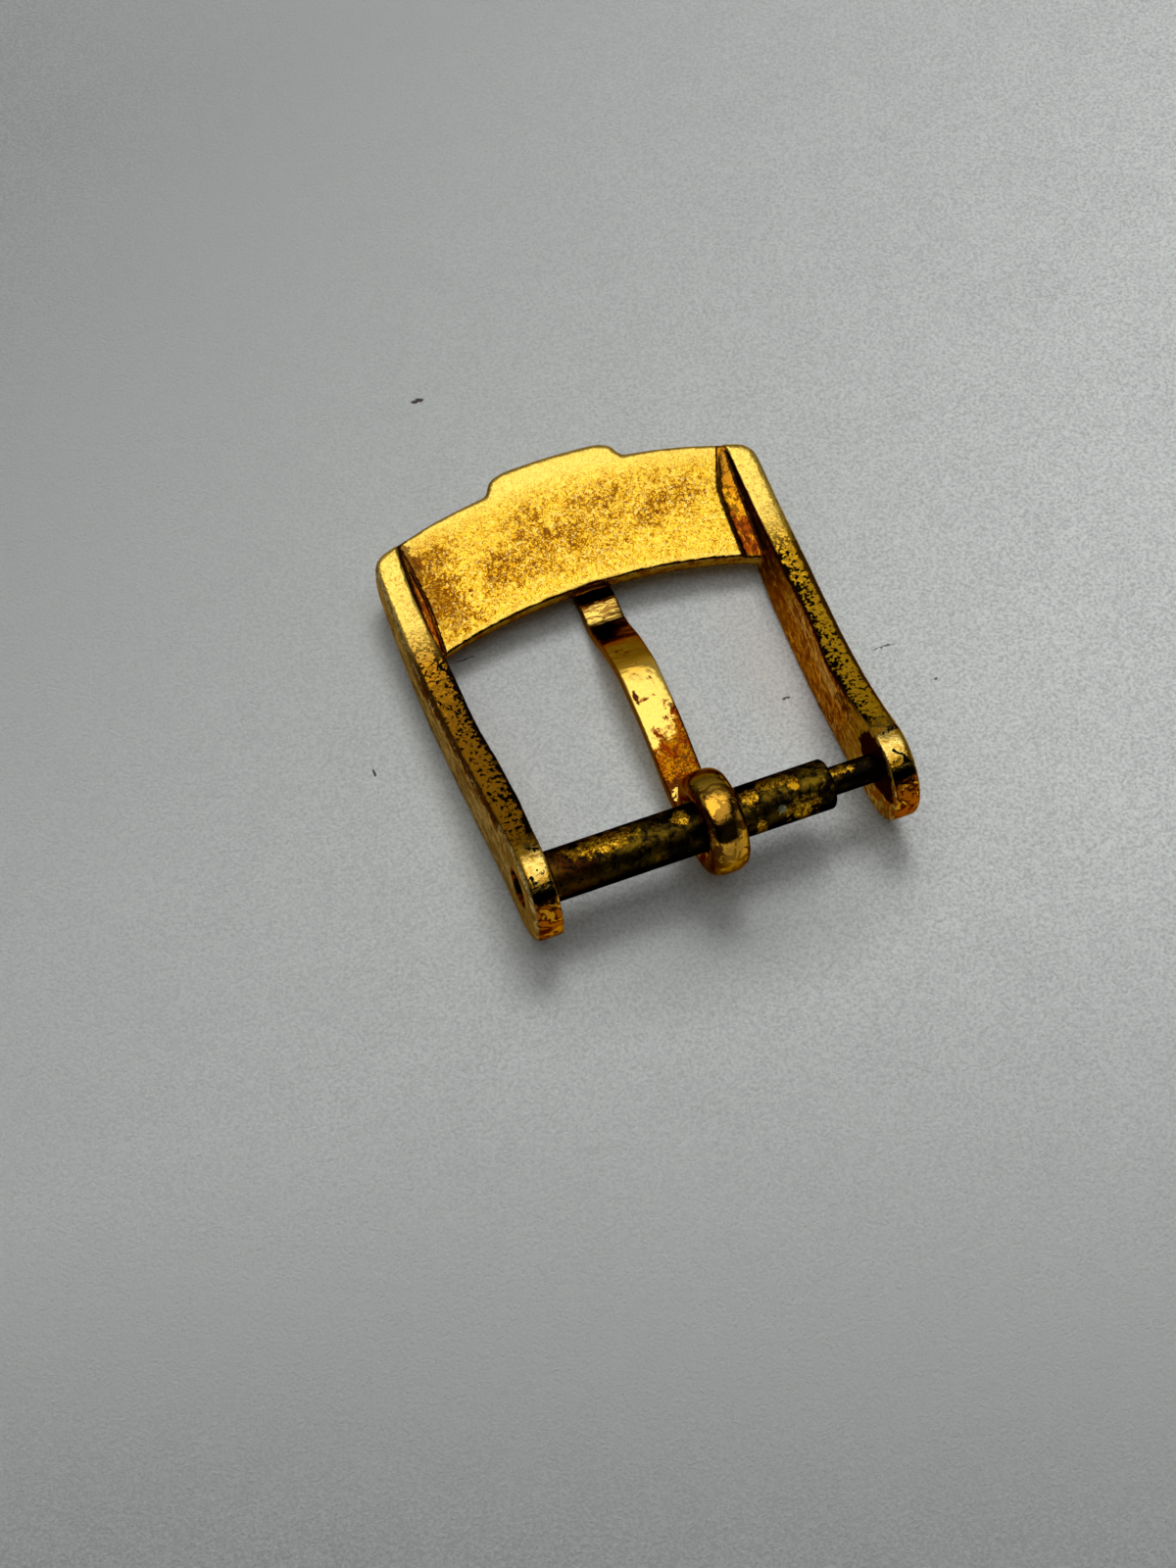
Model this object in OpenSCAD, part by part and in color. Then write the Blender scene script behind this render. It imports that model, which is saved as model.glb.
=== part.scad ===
// Tongue buckle for a narrow watch strap, lying on its face with the wrist side up.
// X runs along the spring bar, Y from the bar to the front plate, and Z up from the table.

/* [Strap and spring bar] */
// Width of the strap, and of the gap between the ears
strap_w = 12; // [10:0.5:16]
// Outside diameter of the bar's tube
tube_d = 1.78; // [1.7:0.01:2]
// Wall of the tube
tube_wall = 0.18; // [0.14:0.01:0.2]
// Length of bare pin that shows beside the tube, which floats this far
float_l = 1.7; // [1:0.1:2.5]
// Diameter of a pin where it leaves the tube
pin_d = 1; // [0.8:0.05:1.05]
// Diameter of the pin's tip in the ear
tip_d = 0.8; // [0.6:0.05:0.9]
// Length of the tip in the ear
tip_l = 0.8; // [0.6:0.05:0.95]
// Diameter of the spring's wire
wire_d = 0.2; // [0.14:0.02:0.24]
// Distance from one turn of the spring to the next
spring_pitch = 0.7; // [0.65:0.05:1]

/* [Frame] */
// Distance from the bar to the plate's inner edge, on the middle line
window_l = 10.83; // [9.5:0.05:12]
// Depth of the plate from its inner to its outer edge
plate_l = 4.25; // [3.6:0.05:5]
// Thickness of the plate at its inner edge
plate_in_t = 1; // [0.7:0.02:1.2]
// Thickness of the plate at its outer edge
plate_out_t = 1.32; // [1:0.02:1.5]
// Radius in plan of the bowed inner and outer edges
bow_r = 22.5; // [16:0.5:40]
// Thickness of an arm
arm_t = 0.97; // [0.8:0.01:1.3]
// Angle by which each arm leans outward
splay = 2; // [0:0.25:3]
// Radius of the rounded ears
ear_r = 1.85; // [1.6:0.05:2]
// How far the ear's centre lies below the bar
ear_drop = 0.2; // [0:0.05:0.3]
// Rounding of the long outer edges
edge_r = 0.3; // [0.1:0.05:0.4]
// Bevel round the outer rim of an ear
ear_bevel = 0.2; // [0.1:0.02:0.3]
// How far the plate's face is set back between the arms
face_step = 0.06; // [0.04:0.01:0.12]
// Rounding of the far corners in plan
corner_r = 0.85; // [0.4:0.05:1.2]
// Height of the bar above the table
bar_h = 2.66; // [2.5:0.02:2.9]
// Distance from the bar to the lowest line of the convex face
face_low_y = 5.6; // [5:0.1:6.5]
// Distance from the bar to the lowest line of the hollow wrist side
wrist_low_y = 10; // [9:0.1:11]
// Height of that line above the table
wrist_low_h = 2.39; // [2.2:0.01:2.6]
// Width of the sloped strip between plate and arm, at the inner edge
strip_w = 0.6; // [0.3:0.05:0.8]
// Height of the bevel under the plate's inner edge
bevel_h = 0.3; // [0.1:0.02:0.4]
// Width of the bevel under the plate's inner edge
bevel_w = 0.7; // [0.4:0.05:1]

/* [Bare tab on the outer edge] */
// Width of the tab
tab_w = 5.1; // [3:0.1:7]
// How far the tab stands out
tab_out = 0.66; // [0.4:0.02:1]
// Rounding of the tab's corners
tab_r = 0.4; // [0.2:0.05:0.4]

/* [Tongue] */
// Width of the tongue
tongue_w = 1.42; // [1.2:0.02:1.8]
// Thickness of the tongue's strip
tongue_t = 0.58; // [0.5:0.02:0.62]
// Wall of the loop round the bar
loop_wall = 0.94; // [0.7:0.02:1]
// Sideways place of the tongue on the bar
tongue_x = 0.07; // [-1:0.01:1]
// Distance from the bar to the tongue's crest
crest_y = 5.4; // [4.6:0.1:6]
// Depth of the crest's upper side below the bar
crest_drop = 0.6; // [0.4:0.05:0.8]
// Distance from the bar to the tip
tip_y = 14; // [12.5:0.1:14.6]

/* [Hidden] */
$fn = 72;
large_fn = 360;
over = 1;
skin = 0.2;

// Clearances between pieces
end_gap = 0.02;
pin_clear = 0.03;
hole_clear = 0.04;
loop_clear = 0.05;
rest_gap = 0.03;

// Heights from here on are counted from the bar's axis
half_w = strap_w / 2;
ear_c = [0, -ear_drop];
far_y = window_l + plate_l;
mid_y = (far_y + tab_out - ear_r - arm_t * sin(splay)) / 2;
tube_r = tube_d / 2;
tube_bore_r = tube_r - tube_wall;
tube_l = strap_w - float_l - 2 * end_gap;
mouth_l = 0.3;
head_l = 0.5;
head_r = tube_bore_r - pin_clear;
head_in = end_gap + mouth_l + float_l + 0.1;
spring_l = strap_w - 2 * (head_in + head_l);
spring_turns = max(3, floor(spring_l / spring_pitch));
hole_r = tip_d / 2 + hole_clear;
loop_in_r = tube_r + loop_clear;
loop_r = loop_in_r + loop_wall;

// The face is one arc, tangent to the ear and lowest at the table
face_low_z = -bar_h;
face_fall = ear_c.y - face_low_z;
face_r = (face_low_y ^ 2 + face_fall ^ 2 - ear_r ^ 2) / (2 * (face_fall - ear_r));
face_c = [face_low_y, face_low_z + face_r];
// The wrist side is one hollow arc, tangent to the ear from above
wrist_low_z = wrist_low_h - bar_h;
wrist_rise = wrist_low_z - ear_c.y;
wrist_r = (wrist_low_y ^ 2 + wrist_rise ^ 2 - ear_r ^ 2) / (2 * (ear_r - wrist_rise));
wrist_c = [wrist_low_y, wrist_low_z + wrist_r];

function unit(v) = v / norm(v);
plate_face_r = face_r - face_step;
function face_z(y) = face_c.y - sqrt(plate_face_r ^ 2 - (y - face_c.x) ^ 2);
function plate_z(y) = let (t = (y - window_l) / plate_l)
    face_z(y) + plate_in_t + (plate_out_t - plate_in_t) * t;
function ease(t) = let (u = min(1, max(0, t))) u * u * (3 - 2 * u);

// The plate's upper side is a hollow arc through three of its heights
plate_a = [window_l - 1, plate_z(window_l - 1)];
plate_b = [far_y, plate_z(far_y)];
scoop_r = 60;
scoop_mid = (plate_a + plate_b) / 2;
scoop_dir = unit(plate_b - plate_a);
scoop_c = scoop_mid + [-scoop_dir.y, scoop_dir.x] * sqrt(scoop_r ^ 2 - (norm(plate_b - plate_a) / 2) ^ 2);

// Puts a piece drawn about the bar onto the table, under the middle of the whole
module placed() {
    translate([0, -mid_y, bar_h]) children();
}

// Extrudes a side view, drawn in Y and Z, along X
module along_x(length) {
    rotate([90, 0, 90]) linear_extrude(length) children();
}

// Cuts a rounding along the outer rim of a disc that fills a convex arc
module round_convex(r) {
    rotate([0, 90, 0]) rotate_extrude($fn = large_fn)
        translate([r - edge_r, arm_t - edge_r]) difference() {
            square(edge_r + skin);
            circle(edge_r);
        }
}

// Cuts a rounding along the outer edge of a hollow arc
module round_hollow(r) {
    rotate([0, 90, 0]) rotate_extrude($fn = large_fn)
        translate([r - skin, arm_t - edge_r]) difference() {
            square(edge_r + skin);
            translate([edge_r + skin, 0]) circle(edge_r);
        }
}

// The side view's region past the ear, between the lines where the arcs leave it
module past_ear() {
    wrist_dir = unit(wrist_c - ear_c);
    face_dir = unit(ear_c - face_c);
    reach = far_y + 10;
    polygon([ear_c, ear_c + wrist_dir * reach, [reach, reach], [reach, -reach], ear_c + face_dir * reach]);
}

// One arm with its ear, its inner side on the plane x = 0
module arm() {
    difference() {
        along_x(arm_t) difference() {
            union() {
                translate(ear_c) circle(ear_r, $fn = 180);
                intersection() {
                    translate(face_c) circle(face_r, $fn = large_fn);
                    past_ear();
                }
            }
            translate(wrist_c) circle(wrist_r, $fn = large_fn);
        }
        intersection() {
            translate([0, face_c.x, face_c.y]) round_convex(face_r);
            along_x(arm_t + over) past_ear();
        }
        intersection() {
            translate([0, wrist_c.x, wrist_c.y]) round_hollow(wrist_r);
            along_x(arm_t + over) past_ear();
        }
        difference() {
            translate([0, ear_c.x, ear_c.y]) rotate([0, 90, 0]) rotate_extrude($fn = 180) polygon([
                [ear_r - ear_bevel, arm_t + skin / 10], [ear_r + skin, arm_t + skin / 10],
                [ear_r + skin, arm_t - ear_bevel - skin * 0.9]
            ]);
            translate([-over, 0, 0]) along_x(arm_t + 2 * over) past_ear();
        }
    }
}

// Both arms, leaning outward from the bar
module arms() {
    for (side = [0, 1]) mirror([side, 0, 0])
        translate([half_w, 0, 0]) rotate([0, 0, -splay]) arm();
}

// Everything inside the bowed outer edge, with rounded far corners
module outline() {
    lean = tan(splay);
    bow_y = far_y - bow_r;
    side_x = half_w + (arm_t - corner_r) / cos(splay);
    b = lean * side_x - bow_y;
    c = side_x ^ 2 + bow_y ^ 2 - (bow_r - corner_r) ^ 2;
    corner_y = (-b + sqrt(b ^ 2 - (1 + lean ^ 2) * c)) / (1 + lean ^ 2);
    corner = [side_x + lean * corner_y, corner_y];
    side_dir = [cos(splay), -sin(splay)];
    bow_dir = unit(corner - [0, bow_y]);
    difference() {
        translate([0, bow_y]) circle(bow_r, $fn = large_fn);
        for (side = [0, 1]) mirror([side, 0]) difference() {
            polygon([
                corner, corner + side_dir * 3, corner + (side_dir + bow_dir) * 3, corner + bow_dir * 3
            ]);
            translate(corner) circle(corner_r);
        }
    }
}

// The bare tab, with rounded corners and small fillets at its foot
module tab() {
    bow_y = far_y - bow_r;
    corner_x = tab_w / 2 - tab_r;
    corner_y = bow_y + sqrt((bow_r + tab_out - tab_r) ^ 2 - corner_x ^ 2);
    foot = 0.2;
    foot_x = tab_w / 2 + foot;
    foot_y = bow_y + sqrt((bow_r + foot) ^ 2 - foot_x ^ 2);
    intersection() {
        translate([0, bow_y]) circle(bow_r + tab_out, $fn = large_fn);
        difference() {
            translate([-tab_w / 2, far_y - 2]) square([tab_w, 4]);
            for (side = [0, 1]) mirror([side, 0]) translate([corner_x, corner_y]) difference() {
                square(2);
                circle(tab_r);
            }
        }
    }
    for (side = [0, 1]) mirror([side, 0]) difference() {
        translate([tab_w / 2 - foot, foot_y - 2 * foot]) square([2 * foot, 2 * foot]);
        translate([foot_x, foot_y]) circle(foot);
    }
}

// The plate between the arms, hollow above and bevelled under its inner edge
module plate() {
    bow_y = window_l - bow_r;
    join = arm_t / 3;
    near_y = window_l - 3;
    top_y = far_y + 3;
    intersection() {
        translate([-strap_w, 0, 0]) along_x(2 * strap_w) difference() {
            translate(face_c) circle(plate_face_r, $fn = large_fn);
            translate(scoop_c) circle(scoop_r, $fn = 2 * large_fn);
        }
        translate([0, 0, -bar_h - over]) linear_extrude(2 * bar_h + 2 * over) difference() {
            polygon([
                [-half_w - near_y * tan(splay) - join, near_y], [half_w + near_y * tan(splay) + join, near_y],
                [half_w + top_y * tan(splay) + join, top_y], [-half_w - top_y * tan(splay) - join, top_y]
            ]);
            translate([0, bow_y]) circle(bow_r, $fn = large_fn);
        }
        translate([0, bow_y, 0]) rotate_extrude($fn = large_fn) {
            low = face_z(window_l) + bevel_h;
            polygon([
                [0, low], [bow_r, low], [bow_r + bevel_w, low - bevel_h], [bow_r + bevel_w + over, -bar_h - over],
                [bow_r + 2 * plate_l, -bar_h - over], [bow_r + 2 * plate_l, bar_h], [0, bar_h]
            ]);
        }
    }
}

// The sloped strip between the plate and one arm, wide at the inner edge and gone at the outer
module strip() {
    end_x = half_w + far_y * tan(splay);
    start_x = half_w + window_l * tan(splay);
    low_y = window_l - 1.5;
    thick = strip_w + 0.2;
    intersection() {
        difference() {
            translate([0, 0, -bar_h]) linear_extrude(2 * bar_h) difference() {
                polygon([
                    [start_x - strip_w * 1.15, low_y], [start_x + arm_t / 3, low_y],
                    [end_x + arm_t / 3, far_y], [end_x - 0.05, far_y - 0.4]
                ]);
                translate([0, window_l - bow_r]) circle(bow_r, $fn = large_fn);
            }
            translate([start_x - strip_w, window_l - 1, plate_z(window_l - 1)])
                rotate([atan2(plate_b.y - plate_a.y, plate_b.x - plate_a.x), 0, 0])
                rotate([0, 0, -atan2(end_x - start_x + strip_w, plate_l + 1)])
                rotate([0, -35, 0])
                translate([-4, -6, 0]) cube([12, 14, 8]);
        }
        translate([half_w - 2, 0, 0]) along_x(3 + 2 * arm_t)
            translate(scoop_c) circle(scoop_r + 0.1, $fn = 2 * large_fn);
    }
}

module buckle_frame() color("goldenrod") placed() {
    difference() {
        union() {
            intersection() {
                union() {
                    arms();
                    plate();
                    for (side = [0, 1]) mirror([side, 0, 0]) strip();
                }
                translate([0, 0, -bar_h - over]) linear_extrude(3 * bar_h) outline();
            }
            intersection() {
                translate([-strap_w / 2, 0, 0]) along_x(strap_w) difference() {
                    translate(face_c) circle(plate_face_r, $fn = large_fn);
                    translate(scoop_c) circle(scoop_r, $fn = 2 * large_fn);
                }
                translate([0, 0, -bar_h - over]) linear_extrude(3 * bar_h) tab();
            }
        }
        translate([-half_w, -2 * ear_r, -bar_h - over]) cube([strap_w, 2 * ear_r + ear_r, 3 * bar_h]);
        for (side = [0, 1]) mirror([side, 0, 0]) translate([half_w, 0, 0]) rotate([0, 90, 0]) {
            translate([0, 0, -over]) cylinder(r = hole_r, h = arm_t + 2 * over);
            translate([0, 0, arm_t - 0.12]) cylinder(r1 = hole_r, r2 = hole_r + 0.24, h = 0.24);
        }
    }
}

module bar_tube() color("darkkhaki") placed() {
    mouth_r = pin_d / 2 + pin_clear;
    crimp = 0.15;
    translate([-half_w + end_gap, 0, 0]) rotate([0, 90, 0]) rotate_extrude() difference() {
        union() {
            square([tube_r - crimp, tube_l]);
            translate([0, crimp]) square([tube_r, tube_l - 2 * crimp]);
            for (z = [crimp, tube_l - crimp]) translate([tube_r - crimp, z]) circle(crimp);
        }
        translate([-over, -over]) square([over + mouth_r, tube_l + 2 * over]);
        translate([-over, mouth_l]) square([over + tube_bore_r, tube_l - 2 * mouth_l]);
    }
}

// A pin of the spring bar: the tip in its ear, the shaft through the tube's mouth, the head inside
module pin(bare_l) {
    shaft_l = end_gap + mouth_l + bare_l + 0.1;
    nose = 0.1;
    translate([half_w, 0, 0]) rotate([0, 90, 0]) rotate_extrude() polygon([
        [0, tip_l], [tip_d / 2 - nose, tip_l], [tip_d / 2, tip_l - nose], [tip_d / 2, 0],
        [pin_d / 2, 0], [pin_d / 2, -shaft_l], [head_r, -shaft_l], [head_r, -shaft_l - head_l],
        [0, -shaft_l - head_l]
    ]);
}

module left_pin() color("gold") placed() {
    mirror([1, 0, 0]) pin(float_l);
}

module right_pin() color("gold") placed() {
    pin(float_l);
}

// The spring is one wire: rings of six points follow the coil and are joined by triangles
module coil() {
    rings = spring_turns * 8;
    sides = 6;
    wire_r = wire_d / 2;
    coil_r = tube_bore_r - pin_clear - wire_r;
    coil_l = spring_l - wire_d - 2 * end_gap;
    lift = atan2(coil_l / spring_turns, 2 * PI * coil_r);
    function place(i) = [coil_r * cos(45 * i), coil_r * sin(45 * i), coil_l * (i / rings - 0.5)];
    function ring(i) = let (
        out = [cos(45 * i), sin(45 * i), 0],
        up = [sin(45 * i) * sin(lift), -cos(45 * i) * sin(lift), cos(lift)]
    ) [for (s = [0:sides - 1]) place(i) + wire_r * (cos(60 * s) * out + sin(60 * s) * up)];
    points = [for (i = [0:rings]) each ring(i)];
    walls = [for (i = [0:rings - 1], s = [0:sides - 1])
        let (a = i * sides + s, b = i * sides + (s + 1) % sides)
        each [[a, b + sides, b], [a, a + sides, b + sides]]];
    first_end = [for (s = [1:sides - 2]) [0, s, s + 1]];
    last_end = [for (s = [1:sides - 2]) [rings * sides, rings * sides + s + 1, rings * sides + s]];
    gap = min([for (i = [0:rings - 8], j = [i + 8:rings]) norm(place(i) - place(j)) - wire_d]);
    echo(str("least gap between the spring's curls: ", gap, " mm"));
    rotate([0, 90, 0]) polyhedron(points, concat(walls, first_end, last_end), convexity = 10);
}

module bar_spring() color("silver") placed() {
    coil();
}

// Heights of the tongue's upper side: it leaves the loop low, rises to a crest, drops in a
// joggle to pass under the plate, and follows the plate's face to its tip
root_y = 2.2;
root_drop = 0.25;
dip_in = 0.35;
root_z = -loop_in_r - root_drop;
dip_y = window_l + dip_in;
dip_z = face_z(dip_y) - rest_gap;
function tongue_top(y) = y < root_y ? root_z
    : y < crest_y ? root_z - (crest_drop + root_z) * ease((y - root_y) / (crest_y - root_y))
    : y < dip_y ? -crest_drop + (dip_z + crest_drop) * ease(((y - crest_y) / (dip_y - crest_y)) ^ 1.15)
    : face_z(y) - rest_gap;
function tongue_low(y) = tongue_top(y) - tongue_t
    - (loop_r + root_z - tongue_t) * (1 - ease(y / (root_y + 1)));

// The strip of the tongue in side view
module tongue_side() {
    steps = 40;
    polygon(concat(
        [for (i = [0:steps]) let (y = tip_y * i / steps) [y, tongue_top(y)]],
        [for (i = [steps:-1:0]) let (y = tip_y * i / steps) [y, tongue_low(y)]]
    ));
}

// The strip of the tongue from above, drawn in to a round tip
module tongue_plan() {
    half = tongue_w / 2;
    tip_r = 0.45;
    polygon([
        [-half, 0], [half, 0], [half, window_l], [tip_r, tip_y - tip_r], [-tip_r, tip_y - tip_r], [-half, window_l]
    ]);
    translate([0, tip_y - tip_r]) circle(tip_r);
}

// The loop of the tongue round the bar, with rounded rims
module tongue_loop() {
    rotate([0, 90, 0]) rotate_extrude() difference() {
        translate([loop_in_r, -tongue_w / 2]) square([loop_wall, tongue_w]);
        for (side = [0, 1]) mirror([0, side]) translate([loop_r - edge_r, tongue_w / 2 - edge_r]) difference() {
            square(edge_r + over);
            circle(edge_r);
        }
    }
}

module tongue() color("khaki") placed() translate([tongue_x, 0, 0]) {
    seam_tilt = 14;
    seam = 0.06;
    seam_l = 2;
    difference() {
        union() {
            tongue_loop();
            intersection() {
                translate([-tongue_w / 2, 0, 0]) along_x(tongue_w) tongue_side();
                translate([0, 0, -2 * bar_h]) linear_extrude(4 * bar_h) tongue_plan();
            }
        }
        translate([-tongue_w, 0, 0]) rotate([0, 90, 0]) cylinder(r = loop_in_r, h = 2 * tongue_w);
        translate([-tongue_w, 0.4, -loop_in_r + 0.12]) rotate([-seam_tilt, 0, 0]) cube([2 * tongue_w, seam_l, seam]);
    }
}

buckle_frame();
bar_tube();
bar_spring();
left_pin();
right_pin();
tongue();
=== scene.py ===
# %% [markdown]
# A small tongue buckle from a narrow watch strap. It lies on paper with the side that faces
# the wrist turned up, so the hollow back of the front plate, the tongue and the spring bar
# all show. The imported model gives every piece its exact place. This lesson dresses it: the
# cast frame and the bent tongue get softly worn shapes, and every surface gets the look of
# old gold plating that has gone brown in the hollows and black along the bar.

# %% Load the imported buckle
import bmesh, bpy, math
from mathutils import Matrix, Vector


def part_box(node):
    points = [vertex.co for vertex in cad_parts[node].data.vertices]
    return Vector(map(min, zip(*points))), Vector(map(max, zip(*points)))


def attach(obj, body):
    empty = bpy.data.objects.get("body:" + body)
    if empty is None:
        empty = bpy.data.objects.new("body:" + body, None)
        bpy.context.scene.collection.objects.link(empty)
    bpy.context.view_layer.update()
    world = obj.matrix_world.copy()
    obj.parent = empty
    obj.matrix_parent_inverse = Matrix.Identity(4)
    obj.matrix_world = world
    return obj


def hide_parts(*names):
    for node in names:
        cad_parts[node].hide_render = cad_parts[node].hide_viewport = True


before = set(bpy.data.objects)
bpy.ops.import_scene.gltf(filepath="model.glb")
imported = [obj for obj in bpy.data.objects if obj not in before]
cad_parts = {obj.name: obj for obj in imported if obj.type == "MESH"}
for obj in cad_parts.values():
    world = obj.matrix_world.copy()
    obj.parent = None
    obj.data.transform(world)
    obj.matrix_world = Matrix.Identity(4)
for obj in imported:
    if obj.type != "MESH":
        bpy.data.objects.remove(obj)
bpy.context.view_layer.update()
mm = 0.001
print("nodes:", sorted(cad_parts))

# %% [markdown]
# A watchmaker measures a buckle from its bar, so the shapes below are written in millimetres
# from the bar's axis: x along the bar, y towards the front plate, z up. The buckle itself
# stands with its middle over the origin and its face on the table, so one small helper turns
# bar measures into the scene's metres. The bar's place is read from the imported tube.

# %% Measures from the bar
tube_low, tube_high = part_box("bar_tube")
bar_y = (tube_low[1] + tube_high[1]) / 2
bar_z = (tube_low[2] + tube_high[2]) / 2
tube_r = (tube_high[2] - tube_low[2]) / 2 / mm


def from_bar(x, y, z):
    return Vector((x * mm, bar_y + y * mm, bar_z + z * mm))


print("bar axis at y %.3f mm, z %.3f mm, tube radius %.2f mm" % (bar_y / mm, bar_z / mm, tube_r))

# %% [markdown]
# The camera looks down at nearly sixty degrees from a little to the left, about nine
# centimetres away. It was fitted to the edges of the buckle, with the buckle tipped by three
# and a half degrees about its bar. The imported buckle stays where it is, so the camera is
# turned about the bar instead. A matrix holds such a turn better than three angles would.

# %% Camera
around, rise, tip = 0.37085748, 1.02878405, math.radians(-3.5)
aim, distance = Vector((-3.34846, 2.91879, 0)), 89.957
focal_pixels, picture_pixels, film_height = 2697.08, 1600, 36
back = Vector((-math.sin(around) * math.cos(rise),
               -math.cos(around) * math.cos(rise), math.sin(rise)))
right = Vector((math.cos(around), -math.sin(around), 0))
up = back.cross(right)
tipped = Matrix.Rotation(tip, 3, "X")
back, right, up, aim = tipped @ back, tipped @ right, tipped @ up, tipped @ aim
eye = aim + back * distance
shot = bpy.data.cameras.new("photo_camera")
camera = bpy.data.objects.new("photo_camera", shot)
bpy.context.scene.collection.objects.link(camera)
camera.matrix_world = (Matrix.Translation(from_bar(*eye))
                       @ Matrix((right, up, back)).transposed().to_4x4())
shot.sensor_fit = "VERTICAL"
shot.sensor_height = film_height
shot.lens = focal_pixels / picture_pixels * film_height
shot.clip_start, shot.clip_end = 0.001, 5
bpy.context.scene.camera = camera
bpy.context.scene.view_settings.view_transform = "Standard"
print("camera %.1f mm above the bar, lens %.1f mm" % (eye.z, shot.lens))

# %% [markdown]
# Every piece starts as one of Blender's primitives. The operators act on whatever is
# selected, so a new piece begins with nothing selected, and afterwards edges and faces are
# picked in code by where they are. `shape` moves each point by a rule, which stands in for
# the bend and shear tools, as those need a window.

# %% Picking and shaping
def start():
    if bpy.context.object and bpy.context.object.mode != "OBJECT":
        bpy.ops.object.mode_set(mode="OBJECT")
    bpy.ops.object.select_all(action="DESELECT")


def take(piece):
    start()
    piece.select_set(True)
    bpy.context.view_layer.objects.active = piece


def named(name):
    piece = bpy.context.object
    piece.name = piece.data.name = name
    return piece


def edit(piece, kind):
    take(piece)
    bpy.ops.object.mode_set(mode="EDIT")
    bpy.ops.mesh.select_mode(type=kind)
    bpy.ops.mesh.select_all(action="DESELECT")
    bpy.ops.object.mode_set(mode="OBJECT")


def edit_all(piece):
    edit(piece, "VERT")
    bpy.ops.object.mode_set(mode="EDIT")
    bpy.ops.mesh.select_all(action="SELECT")


def shape(piece, rule):
    bpy.ops.object.mode_set(mode="OBJECT")
    for point in piece.data.vertices:
        point.co = rule(point.co)
    piece.data.update()


print("picking and shaping ready")

# %% Closing and finishing
def face_out(piece):
    edit_all(piece)
    bpy.ops.mesh.remove_doubles(threshold=0.001 * mm)
    bpy.ops.mesh.normals_make_consistent(inside=False)
    bpy.ops.object.mode_set(mode="OBJECT")


def finish_with(piece, kind, **settings):
    take(piece)
    step = piece.modifiers.new(kind.title(), kind)
    for key, value in settings.items():
        setattr(step, key, value)
    bpy.ops.object.modifier_apply(modifier=step.name)


def cut_with(piece, tool):
    finish_with(piece, "BOOLEAN", operation="DIFFERENCE", object=tool, solver="EXACT")
    bpy.data.objects.remove(tool, do_unlink=True)


def mix(a, b, t):
    return a + (b - a) * min(1, max(0, t))


def ease(t):
    t = min(1, max(0, t))
    return t * t * (3 - 2 * t)


print("closing and finishing ready")

# %% [markdown]
# In side view an arm lies between two arcs that leave the round ear without a corner: the
# convex face below and the hollow wrist side above. The plate's own upper side is a third,
# very flat arc. The arcs could be drawn as curves and lofted, but written as functions they
# let every point of the frame find its own height.

# %% Side arcs of the frame
ear_r, ear_drop, table_z = 1.85, 0.2, -bar_z / mm
face_low_y, wrist_low_y, wrist_low_z = 5.6, 10.0, -0.27
face_fall, wrist_rise = -ear_drop - table_z, wrist_low_z + ear_drop
face_r = (face_low_y ** 2 + face_fall ** 2 - ear_r ** 2) / (2 * (face_fall - ear_r))
wrist_r = (wrist_low_y ** 2 + wrist_rise ** 2 - ear_r ** 2) / (2 * (ear_r - wrist_rise))
face_from_y, wrist_from_y = -0.398, 0.685
window_l, plate_l, bow_r = 10.83, 4.25, 22.5
plate_in_t, plate_out_t, plate_hollow = 1.0, 1.32, 0.24


def ear_half(y):
    return math.sqrt(max(0, ear_r ** 2 - y ** 2))


def face_z(y):
    if y < face_from_y:
        return -ear_drop - ear_half(y)
    return table_z + face_r - math.sqrt(face_r ** 2 - (y - face_low_y) ** 2)


def wrist_z(y):
    if y < wrist_from_y:
        return -ear_drop + ear_half(y)
    return wrist_low_z + wrist_r - math.sqrt(wrist_r ** 2 - (y - wrist_low_y) ** 2)


def plate_z(y):
    def level(at):
        return face_z(at) + mix(plate_in_t, plate_out_t, (at - window_l) / plate_l)
    near, far = window_l - 1, window_l + plate_l
    t = (y - near) / (far - near)
    return level(near) * (1 - t) + level(far) * t - plate_hollow * t * (1 - t)


print("face arc %.2f mm, wrist arc %.2f mm" % (face_r, wrist_r))

# %% [markdown]
# Seen from above, the arms swell outward in a long S and the plate is bowed, with a small
# tab on its outer edge. A grid has the right layout for that: its columns become the lines
# of the arms, the sloped strips and the plate, and its rows run from the ears to the tab.
# The window is deleted, the sheet is extruded, and each point then takes its height. Cutting
# all this from a block would leave no such lines to round and to paint along.

# %% Rows and columns of the frame
ear_rows = [-ear_r * math.cos(math.radians(a)) for a in (5, 14, 23, 32, 41, 50, 60, 70, 80, 90)]
arm_rows = [0.35, 0.7, 1.1, 1.5, 2.0] + [2.5 + 0.5 * i for i in range(15)]
plate_rows = [0, 0.06, 0.16] + [0.26 + 0.11 * i for i in range(7)] + [0.95, 0.98, 1.0]
tab_rows = [0.06, 0.2, 0.32, 0.42, 0.5, 0.55, 0.58]
n_rows = len(ear_rows) + len(arm_rows) + len(plate_rows) + len(tab_rows)
near_row = len(ear_rows) + len(arm_rows)
far_row = near_row + len(plate_rows) - 1
tab_half, tab_out, tab_r = 2.55, 0.58, 0.62
columns = [7.33, 7.27, 7.18, 7.04, 6.86, 6.6, 6.37, 6.3, 6.15, 5.55]
columns += [5.2, 4.6, 4.0, 3.4, 2.95, tab_half, 2.5, 2.42, 2.3, 2.1, 1.8, 1.2, 0.6]
arm_column, groove_column, tab_column = 6, 9, 15
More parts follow.
